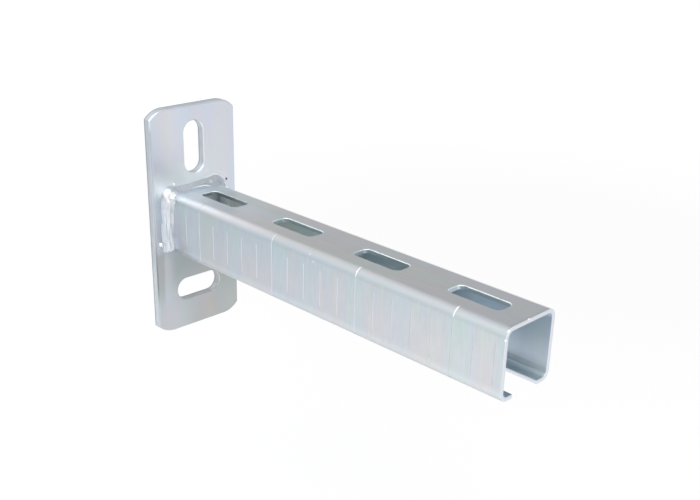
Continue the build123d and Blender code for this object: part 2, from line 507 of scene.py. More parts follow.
def outline_group():
    """Distance outside the channel's outer outline, measured across the arm and below zero in its
    metal: how far a point lies past the box of the bends' centre lines, less the bend radius."""
    inputs = {"Position": "Vector"}
    tree, given, out = new_group("channel outline", inputs, {"Off": "Float"})
    _, off_y, off_z = absolute_parts(tree, given["Position"])
    past_side = largest(tree, maths(tree, "SUBTRACT", off_y, WEB_FLAT / 2), 0.0)
    past_web = largest(tree, maths(tree, "SUBTRACT", off_z, SIDE_FLAT / 2), 0.0)
    squared = total(tree, maths(tree, "POWER", past_side, 2.0), maths(tree, "POWER", past_web, 2.0))
    feed(tree, out["Off"], maths(tree, "SUBTRACT", maths(tree, "SQRT", squared), BEND_R))
    return tree


PASSIVATION = passivation_group()
GRAIN = grain_group()
HEAT = heat_group()
PIN_HOLES = pin_holes_group()
OUTLINE = outline_group()


def place_group(tree, group, **inputs):
    """Puts a shared effect into a material with that material's own values."""
    return add(tree, "Group", {"node_tree": group}, **inputs).outputs


def new_material(name, metallic=1.0):
    """A new material; returns it with its tree, shader, position and normal."""
    material = bpy.data.materials.new(name)
    material.use_nodes = True
    tree = material.node_tree
    shader = tree.nodes["Principled BSDF"]
    shader.inputs["Metallic"].default_value = metallic
    coordinates = add(tree, "TexCoord").outputs
    return material, tree, shader, coordinates["Object"], coordinates["Normal"]


def stretched(tree, position, scale):
    """Position scaled by a different amount along each axis, so that a pattern is drawn out."""
    return add(tree, "Mapping", Vector=position, Scale=scale).outputs[0]


def set_shader(tree, shader, colour, dulled, roughness, height, depth):
    """Sets a shader: its colour, how far it is less than bare metal, its roughness and its relief."""
    feed(tree, shader.inputs["Base Color"], colour)
    feed(tree, shader.inputs["Metallic"], opposite(tree, dulled))
    feed(tree, shader.inputs["Roughness"], roughness)
    bump = add(tree, "Bump", Height=height, Distance=depth, Strength=1.0)
    feed(tree, shader.inputs["Normal"], bump.outputs[0])


# Finishes

SHEET_RELIEF = 0.02 * MM
WELD_RELIEF = 0.045 * MM
PLATE_ROUGHNESS = 0.37
CHANNEL_ROUGHNESS = 0.38
WELD_ROUGHNESS = 0.18
PLATE_FILM = 0.9  # strength of the passivation's colours
CHANNEL_FILM = 0.85
WELD_FILM = 0.5

# Streaks and grain, as patterns per metre along X, Y and Z
PLATE_STREAKS = (60, 85, 20)
SIDE_STREAKS = (95, 30, 16)
WEB_STREAKS = (11, 95, 30)
WELD_STREAKS = (190, 190, 60)
TORN_GRAIN = (900, 260, 260)
# the next two are patterns of the weld's painted glints
GLINT_FLAKES = (520, 520, 260)
GLINT_THREADS = (1100, 1100, 130)

# Plate
PLATE_ZINC = (0.705, 0.75, 0.82)
NEAR_PLATE_ZINC = (0.77, 0.82, 0.90)
PALE_PATCH_ZINC = (0.89, 0.95, 0.98)  # painted light: a paler patch over the web
DRIVEN_OFF_ZINC = (0.92, 0.97, 1.0)  # a thin line beside the top run
PIT_DARK = (0.07, 0.075, 0.09)
TORN_ZINC = (0.46, 0.51, 0.55)
SHEARED_ZINC = (0.64, 0.69, 0.74)
# painted highlight on the plate's rims
PLATE_RIM_HIGHLIGHT_ZINC = (0.90, 0.94, 0.98)
PLATE_PIT = (PLATE_FRONT / MM, 18.5, 15.8)
STREAK_LEAN = -0.035  # the painted dark streak under the near run, a painted reflection, leans by this much of its height
HEAT_START = 3.2 * MM  # distance from the channel at which the heat tint starts

# Painted shade on the plate's front, in patches: a tint, then the fades in mm that bound it along Y or Z,
# along the distance off the channel, or across the leaning streak
FRONT_SHADE_PATCHES = [
    ((0.76, 0.73, 0.69), ("z", 8, -16)),  # painted shade on the lower half
    ((0.93, 0.945, 0.91), ("y", 6, 12), ("z", -18, -24)),  # painted shade below the channel's far foot
    ((0.72, 0.77, 0.75), ("off", 34, 3), ("z", -11, -15), ("y", -19, -12)),  # painted shade under the arm
    # a painted dark reflection: the streak under the near run
    ((0.84, 0.82, 0.80), ("lean", -18.2, -19.7), ("lean", -24.5, -23), ("z", -12, -15), ("z", -46, -30)),
]
OUTER_PATCHES = [
    ((0.955, 0.945, 0.92), ("y", -6, -16), ("z", 26, 46)),  # upper left
    ((1.06, 1.10, 1.11), ("y", -4, -14), ("z", -24, -38)),  # lower left
    ((0.95, 0.94, 0.92), ("y", -7, -1), ("y", 13, 7), ("z", -38, -46)),  # lower middle
    ((0.86, 0.90, 0.89), ("off", -WALL / MM, -WALL / MM - 0.5)),  # painted shade on the plate inside the channel
]
BACK_OF_EDGE_TINT = (0.74, 0.75, 0.76)
LOWER_SLOT_TINT = (0.86, 0.83, 0.80)
LOW_EDGE_TINT = (1.14, 1.13, 1.12)
# painted shade that dims the highlight on the rolled rims
ROLLED_RIM_SHADE_TINT = (0.66, 0.68, 0.70)

# Channel, with places as shares of the way from the wall to its tip
SIDE_ZINC = [
    (0.04, (0.62, 0.67, 0.71)),
    (0.15, (0.53, 0.58, 0.625)),
    (0.5, (0.595, 0.63, 0.665)),
    (0.95, (0.66, 0.69, 0.71)),
]
NEAR_WEB_ZINC = [
    (0.04, (0.84, 0.92, 0.97)),
    (0.13, (0.755, 0.815, 0.86)),
    (0.25, (0.65, 0.70, 0.73)),
    (0.4, (0.57, 0.595, 0.615)),
    (0.75, (0.565, 0.595, 0.615)),
    (1.0, (0.55, 0.595, 0.62)),
]
FAR_WEB_ZINC = [
    (0.04, (0.70, 0.76, 0.79)),
    (0.13, (0.67, 0.72, 0.75)),
    (0.25, (0.615, 0.65, 0.66)),
    (0.4, (0.595, 0.615, 0.625)),
    (0.75, (0.58, 0.60, 0.61)),
    (1.0, (0.56, 0.595, 0.61)),
]
# The inside as it shows through the slots, in painted light and shade: painted shade in the corner by
# # the plate, pale under the first two slots, dull under the third and bluer from there to the mouth
INNER_LIGHT_AND_SHADE_ZINC = [
    (0.02, (0.34, 0.40, 0.39)),
    (0.032, (0.66, 0.72, 0.70)),
    (0.055, (1.0, 1.0, 0.97)),
    (0.2, (0.74, 0.81, 0.78)),
    (0.43, (0.72, 0.83, 0.84)),
    (0.52, (0.36, 0.46, 0.485)),
    (0.61, (0.55, 0.67, 0.70)),
    (0.67, (0.42, 0.53, 0.56)),
    (0.74, (0.38, 0.465, 0.52)),
    (0.82, (0.72, 0.84, 0.92)),
    (0.87, (0.70, 0.81, 0.89)),
    (0.94, (0.565, 0.655, 0.715)),
    (1.0, (0.63, 0.73, 0.80)),
]
SIDE_PATCHES = [
    ((0.925, 0.985, 0.98), ("z", -4, 11)),  # upper half
    ((1.09, 1.10, 1.09), ("z", -8.5, -11.5)),  # painted light on the lower bend
]
# painted highlight along the far bend
FAR_BEND_HIGHLIGHT_TINT = (1.68, 1.63, 1.62)
WELD_SIDE_ZINC = (0.88, 0.99, 1.0)  # the web beside the top run
SINGED_TINT = (0.91, 0.92, 0.90)
FOLD_TINT = (0.86, 0.88, 0.85)
# painted light on the lower bend inside, near the tip
LIT_FOLD_TINT = (1.16, 1.13, 1.09)
INNER_FOLD_LINES = (-9.6 * MM, -11.4 * MM, -12.5 * MM)  # heights of the roller lines in the lower bends
FOLD_LINE_ZINC = (0.85, 0.90, 0.93)
WARM_BEND_TINT = (1.07, 1.02, 1.01)
# painted shade that dims the bend's highlight beside the weld
BEND_HIGHLIGHT_DIMMING_TINT = (0.85, 0.885, 0.895)
MARK_ZINC = (0.86, 0.88, 0.92)

# The channel's cut faces and slots
CUT_ZINC = (0.77, 0.81, 0.865)
NEAR_SLOT_END_ZINC = (0.60, 0.70, 0.73)
SLOT_END_ZINC = (0.90, 0.93, 0.97)
PUNCHED_ZINC = (0.50, 0.59, 0.62)
# painted shade on the walls of the first slot
FIRST_SLOT_ZINC = (0.30, 0.36, 0.37)
FIRST_SLOT_END_ZINC = (0.50, 0.55, 0.55)
# the slots' rims, paler in places as a painted highlight
DULL_RIM_ZINC = (0.60, 0.68, 0.70)
SLOT_RIM_HIGHLIGHT_ZINC = (0.86, 0.93, 0.95)
# painted glints on burrs at the tip's cut edge
TIP_BURR_GLINTS = [(TIP / MM, -1.8, 15.1), (TIP / MM, -13.5, 13.9), (TIP / MM, -14.9, 10.7)]
SIDE_SPECKS = [(101.9, -15.0, 10.7), (99.3, -14.4, 13.2)]

# Welds
WELD_ZINC = (0.72, 0.75, 0.79)
WELD_FURROW_TINT = (0.86, 0.88, 0.91)
PIN_HOLE_DARK = (0.3, 0.32, 0.36)
TOP_RUN_TINT = (0.97, 1.0, 1.0)
TOP_RUN_END_TINT = (0.85, 0.88, 0.885)
# painted highlight along the top run's toe on the web
WEB_TOE_HIGHLIGHT_TINT = (1.16, 1.19, 1.21)
PLATE_TOE_TINT = (0.86, 0.90, 0.93)
# painted glints on the weld: white, on the corner lump, the spatter and the near run
GLINT_WHITE = (0.98, 0.985, 0.99)
LUMP_GLINTS = [(5.3, -16.8, 15.6), (6.4, -16.0, 13.6), (8.0, -15.0, 13.2)]
DROP_GLINTS = [(12.2, 12.7, 14.9), (4.3, -12.1, 19.2), (4.4, -21.3, -8.6)]


def plate_front(tree, colour, position):
    """The plate's colour, plain on its back and tinted by the weld on its front, with painted shade
    and a painted dark reflection below the arm; also returns the mask of the paler patch over the
    web, which is painted light."""
    x, y, z = parts_of(tree, position)
    off = place_group(tree, OUTLINE, Position=position)["Off"]
    heat = place_group(tree, HEAT, Distance=maths(tree, "SUBTRACT", off, HEAT_START), Position=position)
    lean = total(tree, y, product(tree, z, STREAK_LEAN))
    # painted shade and a painted dark reflection, in patches
    front = patched(tree, colour, FRONT_SHADE_PATCHES, y=y, z=z, off=off, lean=lean)
    beside_run = zone(tree, (y, -13, -17), (z, -19, -12))
    front = tinted(tree, front, beside_run, heat["Tint"])
    # painted light: a paler patch over the web
    pale_patch = zone(tree, (off, 18, 3), (z, 12, 17), (y, 12, -6))
    front = blend(tree, pale_patch, front, PALE_PATCH_ZINC)
    over_web = zone(tree, (y, 1, 6), (z, 13, 16))
    driven_off = product(tree, heat["Line"], over_web, fade(tree, y, 8 * MM, 11 * MM, 0.25, 0.4))
    front = blend(tree, driven_off, front, DRIVEN_OFF_ZINC)
    front = blend(tree, spots(tree, position, [PLATE_PIT], 0.65 * MM), front, PIT_DARK)
    front = patched(tree, front, OUTER_PATCHES, y=y, z=z, off=off)
    return blend(tree, zone(tree, (x, 1.5, 3)), colour, front), pale_patch


def plate_edges(tree, colour, position, normal):
    """Adds the plate's blanked edges, which look along Y or Z, and the rims between them and the
    front, with a painted highlight on most rims and painted shade on the rolled ones; also returns
    the masks of the edges and of the rolled rims."""
    x, y, z = parts_of(tree, position)
    _, off_y, off_z = absolute_parts(tree, position)
    facing_x = absolute_parts(tree, normal)[0]
    edge = fade(tree, facing_x, 0.5, 0.15)
    rim = product(tree, fade(tree, facing_x, 0.3, 0.55), fade(tree, facing_x, 0.995, 0.9))
    at_slots = zone(tree, (off_y, 20, 17), (off_z, 52, 50))
    low_edge = zone(tree, (z, -14, -26), (y, -19, -22))
    rolled = product(tree, rim, zone(tree, (y, -19, -22), (z, 50, 44), (z, -42, -28)))
    # painted highlight on the rims, strongest by the slots
    rim_highlight = product(tree, rim, total(tree, product(tree, at_slots, 0.12), 0.2), opposite(tree, low_edge))

    torn = noise(tree, stretched(tree, position, TORN_GRAIN))
    edge_colour = blend(tree, torn, TORN_ZINC, SHEARED_ZINC)
    edge_colour = tinted(tree, edge_colour, zone(tree, (x, 1.3, 0.5)), BACK_OF_EDGE_TINT)
    low_slot = product(tree, zone(tree, (z, -18, -24)), at_slots)
    edge_colour = tinted(tree, edge_colour, low_slot, LOWER_SLOT_TINT)
    edge_colour = tinted(tree, edge_colour, low_edge, LOW_EDGE_TINT)
    colour = blend(tree, edge, colour, edge_colour)
    colour = blend(tree, rim_highlight, colour, PLATE_RIM_HIGHLIGHT_ZINC)
    # painted shade that dims the highlight on the rolled rims
    return tinted(tree, colour, rolled, ROLLED_RIM_SHADE_TINT), edge, rolled


def plate_finish():
    """Wall plate: blue passivated zinc, dull on its blanked edges and with a painted highlight on
    their rims, tinted where the weld heated it, and with painted shade on its lower half and under
    the arm."""
    material, tree, shader, position, normal = new_material("zinc plated plate")
    streaks = stretched(tree, position, PLATE_STREAKS)
    film = place_group(tree, PASSIVATION, Streaks=streaks, Strength=PLATE_FILM)
    grain = place_group(tree, GRAIN, Position=position, Streaks=streaks)
    _, y, z = parts_of(tree, position)
    colour = blend(tree, zone(tree, (y, -2, -15), (z, -14, -4)), PLATE_ZINC, NEAR_PLATE_ZINC)
    colour, pale_patch = plate_front(tree, multiplied(tree, colour, film["Tint"]), position)
    colour, edge, rolled = plate_edges(tree, colour, position, normal)
    haze = swing(tree, grain["Haze"], 0.16)
    roughness = total(tree, haze, PLATE_ROUGHNESS, product(tree, edge, 0.12), product(tree, rolled, 0.2))
    # the paler patch is also dulled, so that it catches diffuse light: painted light
    set_shader(tree, shader, colour, product(tree, pale_patch, 0.2), roughness, grain["Height"], SHEET_RELIEF)
    return material


def mark_line(tree, along, pitch, centre):
    """One on each of a row of thin upright lines, repeated every pitch from a centre."""
    from_centre = maths(tree, "SUBTRACT", along, centre)
    from_line = maths(tree, "ABSOLUTE", maths(tree, "WRAP", from_centre, pitch / 2, -pitch / 2))
    return fade(tree, from_line, MARK_HALF_WIDTH + MARK_FADE, MARK_HALF_WIDTH - MARK_FADE)


def length_marks(tree, position, off_outline):
    """Mask of the marks scored across the near side: short ones on its flat, long ones to the web."""
    x, y, z = parts_of(tree, position)
    height = maths(tree, "ABSOLUTE", z)
    short_reach = fade(tree, height, SHORT_MARK_REACH + MARK_FADE, SHORT_MARK_REACH - MARK_FADE)
    short = product(tree, mark_line(tree, x, MARK_PITCH, LONG_MARK_X), short_reach)
    long_reach = fade(tree, z, -LONG_MARK_LOW - MARK_FADE, -LONG_MARK_LOW + MARK_FADE)
    long = product(tree, mark_line(tree, x, LONG_MARK_PITCH, LONG_MARK_X), long_reach)
    either = largest(tree, short, long)
    clear_of_weld = maths(tree, "GREATER_THAN", x, FIRST_MARK_X)
    on_near_side = fade(tree, y, -WEB_FLAT / 2 + 0.2 * MM, -WEB_FLAT / 2 - 0.6 * MM)
    outside = fade(tree, off_outline, -0.5 * WALL, -0.25 * WALL)
    return product(tree, either, clear_of_weld, on_near_side, outside)


def channel_outside(tree, position, facing_z, on_web):
    """Colour of the channel's outside: its sides, with painted light on their lower bend, its web,
    with a painted highlight along its far bend, and the web's singed end at the tip.
    """
    x, y, z = parts_of(tree, position)
    share = maths(tree, "DIVIDE", x, TIP)
    # painted light on the lower bend of the sides
    side = patched(tree, colour_ramp(tree, share, SIDE_ZINC), SIDE_PATCHES, z=z)
    near_web = colour_ramp(tree, share, NEAR_WEB_ZINC)
    far_web = colour_ramp(tree, share, FAR_WEB_ZINC)
    web = blend(tree, zone(tree, (y, -3, 9)), near_web, far_web)
    # painted highlight along the far bend
    web = tinted(tree, web, zone(tree, (y, 10.8, 12.5)), FAR_BEND_HIGHLIGHT_TINT)
    beside_weld = product(tree, fade(tree, x, 24 * MM, 10 * MM, 0.0, 0.8), zone(tree, (y, -12.5, -10)))
    web = blend(tree, beside_weld, web, WELD_SIDE_ZINC)
    singed = product(tree, fade(tree, x, TIP - 2 * MM, TIP - 0.5 * MM), fade(tree, facing_z, 0.9, 0.98))
    return tinted(tree, blend(tree, on_web, side, web), singed, SINGED_TINT)


def channel_inside(tree, position):
    """Colour of the channel's inside, in painted light and shade along its length and with painted
    light on its lower bend near the tip, with the roller lines of its lower bends.
    """
    x, y, z = parts_of(tree, position)
    # painted light and shade along the inside
    colour = colour_ramp(tree, maths(tree, "DIVIDE", x, TIP), INNER_LIGHT_AND_SHADE_ZINC)
    folded = product(tree, zone(tree, (z, -8.5, -10.5)), fade(tree, x, TIP - 45 * MM, TIP - 30 * MM))
    colour = tinted(tree, colour, folded, FOLD_TINT)
    # painted light on the lower bend near the tip
    lit_fold = product(tree, folded, fade(tree, x, TIP - 20 * MM, TIP - 2 * MM), zone(tree, (y, 2, 6)))
    colour = tinted(tree, colour, lit_fold, LIT_FOLD_TINT)
    from_lines = [distance_from(tree, z, level) for level in INNER_FOLD_LINES]
    fold_lines = largest(tree, *[zone(tree, (from_line, 0.3, 0.05)) for from_line in from_lines])
    return blend(tree, product(tree, fold_lines, 0.3), colour, FOLD_LINE_ZINC)


def channel_cuts(tree, colour, position, facing):
    """Adds the channel's cut faces, which look along X, or along Y near the arm's middle: the ends
    of the slots, their long dull walls, painted shade on the first slot's walls and a painted
    highlight on the slots' rims. Also returns the mask of the cut faces."""
    facing_x, facing_y, facing_z = facing
    x, _, z = parts_of(tree, position)
    off_middle = absolute_parts(tree, position)[1]
    by_lips = fade(tree, off_middle, LIP_EDGE + MM, LIP_EDGE + 0.2 * MM)
    slot_or_lip = product(tree, by_lips, fade(tree, facing_y, 0.35, 0.7))
    cut = largest(tree, slot_or_lip, fade(tree, facing_x, 0.35, 0.7))
    in_web = product(tree, zone(tree, (z, 12, 13)), fade(tree, x, TIP - 2 * MM, TIP - 3 * MM))
    slot_end = blend(tree, zone(tree, (x, 80, 150)), NEAR_SLOT_END_ZINC, SLOT_END_ZINC)
    colour = blend(tree, cut, colour, blend(tree, in_web, CUT_ZINC, slot_end))

    upright = fade(tree, facing_z, 0.5, 0.3)
    at_slots = fade(tree, off_middle, LIP_EDGE, LIP_EDGE - MM)
    long_wall = product(tree, fade(tree, facing_y, 0.3, 0.6), at_slots, in_web, upright)
    colour = blend(tree, long_wall, colour, PUNCHED_ZINC)
    # painted shade on the walls of the first slot
    first_slot = product(tree, zone(tree, (x, 34, 30)), in_web, cut, upright)
    first_wall = blend(tree, zone(tree, (x, 20, 34)), FIRST_SLOT_ZINC, FIRST_SLOT_END_ZINC)
    colour = blend(tree, first_slot, colour, first_wall)

    # painted highlight on the slots' rims
    rim = product(tree, opposite(tree, upright), fade(tree, facing_z, 0.93, 0.85), in_web, at_slots)
    rim_lit = largest(tree, zone(tree, (x, 34, 62)), zone(tree, (x, 20, 16)))
    rim_colour = blend(tree, rim_lit, DULL_RIM_ZINC, SLOT_RIM_HIGHLIGHT_ZINC)
    mottle = fade(tree, noise(tree, position, scale=420.0), 0.3, 0.6, 0.78, 1.0)
    return blend(tree, rim, colour, shaded(tree, rim_colour, mottle)), cut


def channel_marks(tree, colour, position, off_outline, on_bend):
    """Adds the length marks, plainest over the middle of the arm and barely seen at the tip, which
    turn white on the bend as a painted highlight, the painted glints on the tip's burrs and the
    white specks. Also returns the mask of these painted highlights."""
    x, _, z = parts_of(tree, position)
    washed_out = product(tree, on_bend, fade(tree, x, 125 * MM, 30 * MM, 0.0, 0.75))
    plain = product(tree, fade(tree, x, 0.88 * TIP, 0.5 * TIP, 0.2, 0.7), opposite(tree, washed_out))
    gleaming = product(tree, on_bend, fade(tree, x, 30 * MM, 125 * MM, 0.1, 1.0), zone(tree, (z, 0, 5)))
    marks = product(tree, length_marks(tree, position, off_outline), largest(tree, plain, gleaming))
    # the marks turn white on the bend: a painted highlight
    colour = blend(tree, marks, colour, blend(tree, on_bend, MARK_ZINC, WHITE))
    # painted glints on the burrs
    burr_glints = spots(tree, position, TIP_BURR_GLINTS, 0.6 * MM)
    specks = product(tree, spots(tree, position, SIDE_SPECKS, 0.55 * MM), 0.35)
    colour = blend(tree, largest(tree, burr_glints, specks), colour, WHITE)
    return colour, largest(tree, burr_glints, product(tree, marks, gleaming, 0.6))


def channel_finish():
    """Channel: blue passivated zinc, in upright streaks on its sides and lengthwise ones on its web,
    brighter on its cut edges and scored marks, with painted highlights and painted shade on its
    bends and slots. Inside, the film is greener and smoother, in painted light and shade."""
    material, tree, shader, position, normal = new_material("zinc plated channel")
    facing = absolute_parts(tree, normal)
    on_web = fade(tree, facing[2], 0.3, 0.95)
    on_bend = product(tree, fade(tree, facing[2], 0.08, 0.3), fade(tree, facing[1], 0.1, 0.3))
    off_outline = place_group(tree, OUTLINE, Position=position)["Off"]
    inside = fade(tree, off_outline, -WALL + 0.3 * MM, -WALL + 0.1 * MM)
    outside = opposite(tree, inside)
    pick = add(tree, "Mix", {"data_type": "VECTOR"}, Factor=on_web)
    feed(tree, pick.inputs[4], stretched(tree, position, SIDE_STREAKS))
    feed(tree, pick.inputs[5], stretched(tree, position, WEB_STREAKS))
    streaks = pick.outputs[1]
    film = place_group(tree, PASSIVATION, Streaks=streaks, Strength=CHANNEL_FILM)
    grain = place_group(tree, GRAIN, Position=position, Streaks=streaks)

    colour = channel_outside(tree, position, facing[2], on_web)
    colour = blend(tree, inside, colour, channel_inside(tree, position))
    tint = blend(tree, product(tree, inside, 0.2), film["Tint"], WHITE)
    colour = multiplied(tree, colour, tint)
    drawn = fade(tree, grain["Drawn"], 0.3, 0.7, 0.975, 1.02)
    colour = blend(tree, outside, colour, shaded(tree, colour, drawn))
    colour, cut = channel_cuts(tree, colour, position, facing)
    x = parts_of(tree, position)[0]
    colour = tinted(tree, colour, product(tree, on_bend, zone(tree, (x, 90, 50))), WARM_BEND_TINT)
    # painted shade that dims the bend's highlight beside the weld
    colour = tinted(tree, colour, product(tree, on_bend, zone(tree, (x, 28, 10)), outside), BEND_HIGHLIGHT_DIMMING_TINT)
    colour, gleam = channel_marks(tree, colour, position, off_outline, on_bend)

    haze = swing(tree, grain["Haze"], 0.14)
    dull = product(tree, largest(tree, cut, inside), 0.12)
    roughness = total(tree, haze, CHANNEL_ROUGHNESS, dull, product(tree, on_bend, 0.1))
    # the painted highlights are dulled, so that they catch diffuse light
    set_shader(tree, shader, colour, product(tree, gleam, 0.8), roughness, grain["Height"], SHEET_RELIEF)
    return material


def weld_glints(tree, position, flakes):
    """Mask of the painted glints: white patches on the corner lump and the spatter, thin threads on
    the near run, and a painted highlight line along the crease of the run over the web, where its
    lower edge folded over."""
    x, y, z = parts_of(tree, position)
    drops = spots(tree, position, DROP_GLINTS, 1.1 * MM)
    lump = spots(tree, position, LUMP_GLINTS, 2.4 * MM)
    flaked = product(tree, largest(tree, drops, lump), fade(tree, flakes, 0.4, 0.57))
    threads = noise(tree, stretched(tree, position, GLINT_THREADS))
    near_run = zone(tree, (y, -14, -15.5), (x, 4.5, 5.6))
    near_run = product(tree, near_run, fade(tree, threads, 0.42, 0.62, 0.0, 0.3))
    crease_level = fade(tree, y, 2 * MM, 8.5 * MM, 16.0 * MM, 15.15 * MM)
    crease = zone(tree, (distance_from(tree, z, crease_level), 0.32, 0.08), (y, 8, 5.5))
    crease = product(tree, crease, fade(tree, y, -6 * MM, 4 * MM, 0.0, 0.85))
    return largest(tree, flaked, near_run, crease)


def weld_finish():
    """Weld metal: brighter zinc over a face drawn out along the run, with a few pin holes, painted glints and
    painted highlights.
    """
    material, tree, shader, position, _ = new_material("zinc plated weld")
    streaks = stretched(tree, position, WELD_STREAKS)
    film = place_group(tree, PASSIVATION, Streaks=streaks, Strength=WELD_FILM)
    grain = place_group(tree, GRAIN, Position=position, Streaks=streaks)
    x, y, z = parts_of(tree, position)
    colour = multiplied(tree, WELD_ZINC, film["Tint"])
    colour = tinted(tree, colour, fade(tree, grain["Drawn"], 0.7, 0.3), WELD_FURROW_TINT)
    pin_holes = place_group(tree, PIN_HOLES, Position=position, Scale=420.0, Rarity=0.96, Spot=0.16)["Mask"]
    colour = blend(tree, pin_holes, colour, PIN_HOLE_DARK)
    over_web = zone(tree, (z, 14, 15.5))
    top_run_tint = blend(tree, zone(tree, (y, -5, 9)), TOP_RUN_TINT, TOP_RUN_END_TINT)
    colour = tinted(tree, colour, over_web, top_run_tint)
    # painted highlight along the top run's toe on the web
    colour = tinted(tree, colour, product(tree, over_web, zone(tree, (x, 6.2, 7.6))), WEB_TOE_HIGHLIGHT_TINT)
    colour = tinted(tree, colour, zone(tree, (y, -14, -15.5), (x, 6.2, 4.4)), PLATE_TOE_TINT)

    flakes = noise(tree, stretched(tree, position, GLINT_FLAKES), detail=3.0)
    # painted glints: white, and dulled so that they catch diffuse light
    glints = weld_glints(tree, position, flakes)
    colour = blend(tree, glints, colour, GLINT_WHITE)
    roughness = total(tree, product(tree, grain["Haze"], 0.25), WELD_ROUGHNESS, product(tree, over_web, 0.08))
    raised = total(tree, grain["Height"], product(tree, glints, flakes))
    relief = maths(tree, "SUBTRACT", raised, product(tree, pin_holes, 0.4))
    set_shader(tree, shader, colour, product(tree, glints, 0.75), roughness, relief, WELD_RELIEF)
    return material


# Pieces

def build_welds():
    """The near upright run, the hollow run across the web, the lean far run, and the spatter."""
    near_low, near_high, web_near, web_far, far_high, far_low, foot_end = OUTLINE_KNOTS[1:].tolist()
    side_mid = (near_low + near_high) / 2
    corner = (near_high + web_near) / 2
    far_corner = (web_far + far_high) / 2

    def slices(*rows):
        return [(place, *(size * MM for size in sizes)) for place, *sizes in rows]

    def lumps(*rows):
        return [(place, share, along * MM, across, rise * MM) for place, share, along, across, rise in rows]

    near = weld_bead(
        "weld_bead_near",
        0.8 * MM,
        web_near,
        slices(
            (0.8 * MM, 5.6, 2.3, 0.5),
            (near_low + 3 * MM, 5.5, 2.5, 0.6),
            (side_mid, 5.4, 2.8, 0.55),
            (near_high, 5.1, 3.5, 0.6),
            (corner - 1.2 * MM, 5.0, 4.6, 0.7),
            (corner + 0.6 * MM, 5.2, 4.5, 0.6),
            (corner + 2.3 * MM, 3.6, 4.2, 0.2),
            (web_near, 3.0, 4.0, 0.0),
        ),
        lumps(
            (corner + 0.4 * MM, 0.25, 1.5, 0.3, 0.7),
            (corner - 1.0 * MM, 0.86, 0.8, 0.14, 0.7),
            (corner - 0.2 * MM, 0.62, 0.6, 0.12, -0.5),
            (near_high - 2.4 * MM, 0.5, 1.4, 0.3, 0.25),
            (near_low + 1.2 * MM, 0.12, 1.1, 0.12, 0.5),
            (near_low - 0.6 * MM, 0.6, 1.8, 0.3, 0.3),
        ),
        unevenness=0.16 * MM,
        seed=11,
    )
    top = weld_bead(
        "weld_bead_top",
        corner + 0.8 * MM,
        far_corner + 2.2 * MM,
        slices(
            (corner + 0.8 * MM, 3.9, 4.0, -0.3),
            (web_near + 2 * MM, 3.0, 4.2, -0.9),
            (web_near + 12 * MM, 3.3, 4.3, -0.9),
            (web_far - 3 * MM, 3.7, 4.3, -0.9),
            (web_far, 4.1, 4.2, -0.9),
            (far_corner + 2.2 * MM, 4.0, 3.8, -0.2),
        ),
        lumps(
            (web_near + 5.8 * MM, 0.43, 2.4, 0.06, 0.25),
            (web_near + 9.8 * MM, 0.46, 2.4, 0.06, 0.35),
            (web_near + 14.0 * MM, 0.52, 2.4, 0.06, 0.4),
        ),
        unevenness=0.035 * MM,
        seed=23,
    )
    far = weld_bead(
        "weld_bead_far",
        far_corner + 0.3 * MM,
        foot_end,
        slices(
            (far_corner, 3.5, 3.9, 0.2),
            (far_high - 0.4 * MM, 2.7, 3.9, 0.4),
            (far_high + 3 * MM, 2.8, 3.9, 0.5),
            ((far_high + far_low) / 2, 3.2, 3.9, 0.5),
            (foot_end, 3.1, 3.8, 0.5),
        ),
        lumps(
            (far_low - 1.0 * MM, 0.2, 1.1, 0.12, 0.3),
        ),
        unevenness=0.14 * MM,
        seed=37,
    )
    front = PLATE_FRONT / MM
    out_of_wall = (1, 0, 0)
    drops = [
        ((front, -21.3, -8.6), out_of_wall, 2.4, 0.8),
        ((front, -20.2, -10.0), out_of_wall, 1.3, 0.45),
        ((front, -22.1, -10.3), out_of_wall, 0.8, 0.3),
        ((front, -20.0, -8.9), out_of_wall, 1.5, 0.4),
        ((front, -12.1, 19.2), out_of_wall, 1.2, 0.5),
        ((front, 21.4, -6.5), out_of_wall, 0.9, 0.3),
        ((12.2, 12.55, 14.6), (0, 0.42, 0.91), 1.6, 0.7),
    ]
    spatter = []
    for index, (centre, normal, across, height) in enumerate(drops):
        metres = [value * MM for value in centre]
        drop = spatter_drop(f"drop_{index}", metres, normal, across * MM, height * MM, DROP_SEED + index)
        spatter.append(drop)
    return near, top, far, joined("weld_spatter", spatter)


def dress_node(name, material):
    """Gives a carried-over node its material, on its object's own slots."""
    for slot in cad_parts[name].material_slots:
        slot.link = "OBJECT"
        slot.material = material


weld_material = weld_finish()
dress_node("wall_plate", plate_finish())
dress_node("channel_arm", channel_finish())
near_bead, top_bead, far_bead, spatter = build_welds()
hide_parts("weld_near")
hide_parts("weld_top")
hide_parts("weld_far")
for piece in (near_bead, top_bead, far_bead, spatter):
    face_outwards(piece)
    piece.data.materials.append(weld_material)
    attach(piece, "root")


# Studio

FLOOR_Z = -0.2
FLOOR_REACH = 4.0
FLOOR_GREY = (0.8, 0.8, 0.8)
# Where the floor's own glow starts and ends, as distances from the arm, and its strength at either
SEEN_GLOW = (0.3, 1.6, 0.15, 0.42)  # for the camera, so that the floor stays white
MIRRORED_GLOW = (0.7, 2.5, 0.10, 0.32)  # for metal that mirrors it
CEILING = 0.66  # brightness of the ceiling in reflections
CEILING_HEIGHT = 0.22  # height of a reflected ray's direction at which it meets the full ceiling
ROOM_LIGHT = 0.72

LAMP_TARGET = np.array([0.08, 0, 0])
LAMPS = [
    # name, (azimuth, elevation) in degrees, distance, width, height, brightness
    ("key_softbox", (-41, 52), 1.2, 1.5, 1.0, 2.0),
    ("left_panel", (-150, 42), 0.9, 1.6, 0.9, 0.52),
]


